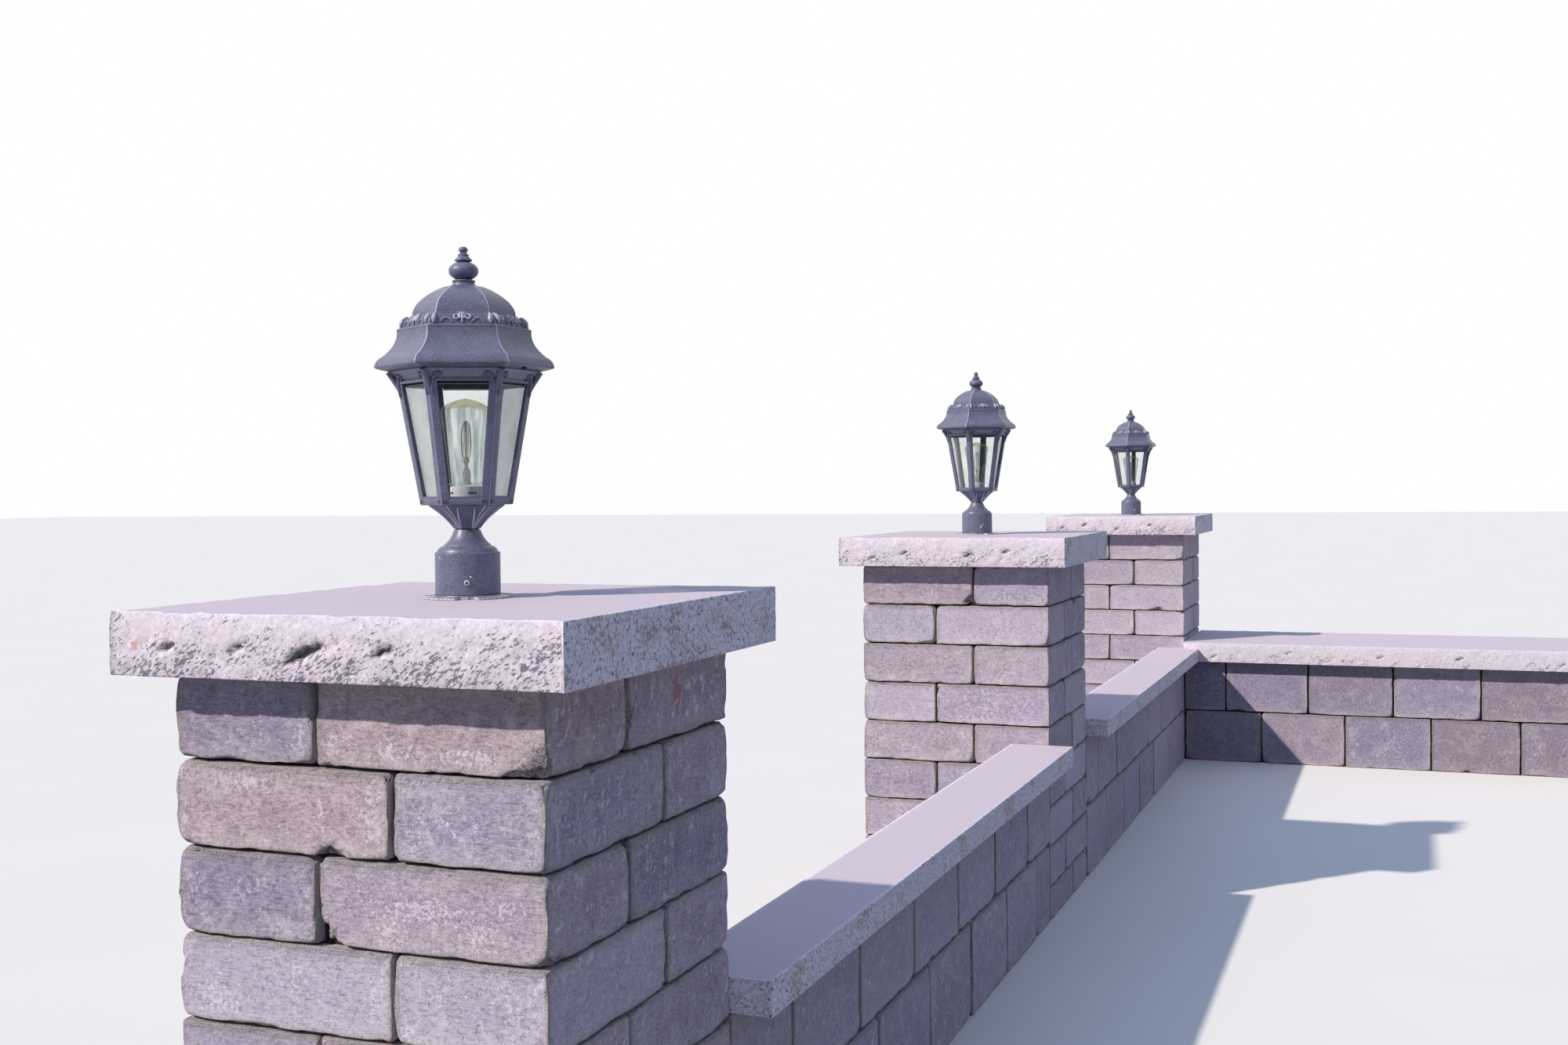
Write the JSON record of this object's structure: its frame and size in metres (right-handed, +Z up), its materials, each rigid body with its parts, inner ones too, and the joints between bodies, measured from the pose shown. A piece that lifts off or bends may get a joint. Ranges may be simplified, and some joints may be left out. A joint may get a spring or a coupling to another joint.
{
  "type": "block garden wall with lantern piers",
  "caption": "Low garden wall of tumbled blocks with granite caps, turning a corner between square piers that each carry a hexagonal post lantern.",
  "frame": {"origin": "middle of the first pier's foot, on the ground", "axes": "+Z up, +Y along the two narrow bays to the corner pier, +X along the wide bay"},
  "size_m": [3.254, 5.874, 1.445],
  "materials": {
    "block": "tumbled, matte",
    "granite": "flamed and rock-faced, matte",
    "lantern_metal": "fine textured black powder coat",
    "lantern_glass": "clear, slightly seeded",
    "bulb_glass": "clear with an amber tint",
    "lamp_ceramic": "glazed white"
  },
  "bodies": {
    "root": {"pier_1_shaft": "block", "pier_2_shaft": "block", "pier_3_shaft": "block", "pier_4_shaft": "block", "pier_1_cap": "granite", "pier_2_cap": "granite", "pier_3_cap": "granite", "pier_4_cap": "granite", "first_wall": "block", "second_wall": "block", "wide_wall": "block", "first_wall_cap": "granite", "second_wall_cap": "granite", "wide_wall_slab": "granite", "lantern_1_plate": "lantern_metal", "lantern_2_plate": "lantern_metal", "lantern_3_plate": "lantern_metal", "lantern_4_plate": "lantern_metal", "lantern_1_fitter": "lantern_metal", "lantern_2_fitter": "lantern_metal", "lantern_3_fitter": "lantern_metal", "lantern_4_fitter": "lantern_metal", "lantern_1_cage": "lantern_metal", "lantern_2_cage": "lantern_metal", "lantern_3_cage": "lantern_metal", "lantern_4_cage": "lantern_metal", "lantern_1_panes": "lantern_glass", "lantern_2_panes": "lantern_glass", "lantern_3_panes": "lantern_glass", "lantern_4_panes": "lantern_glass", "lantern_1_roof": "lantern_metal", "lantern_2_roof": "lantern_metal", "lantern_3_roof": "lantern_metal", "lantern_4_roof": "lantern_metal", "lantern_1_finial": "lantern_metal", "lantern_2_finial": "lantern_metal", "lantern_3_finial": "lantern_metal", "lantern_4_finial": "lantern_metal", "lantern_1_holder": "lamp_ceramic", "lantern_2_holder": "lamp_ceramic", "lantern_3_holder": "lamp_ceramic", "lantern_4_holder": "lamp_ceramic", "lantern_1_bulb": "bulb_glass", "lantern_2_bulb": "bulb_glass", "lantern_3_bulb": "bulb_glass", "lantern_4_bulb": "bulb_glass"}
  },
  "joints": []
}
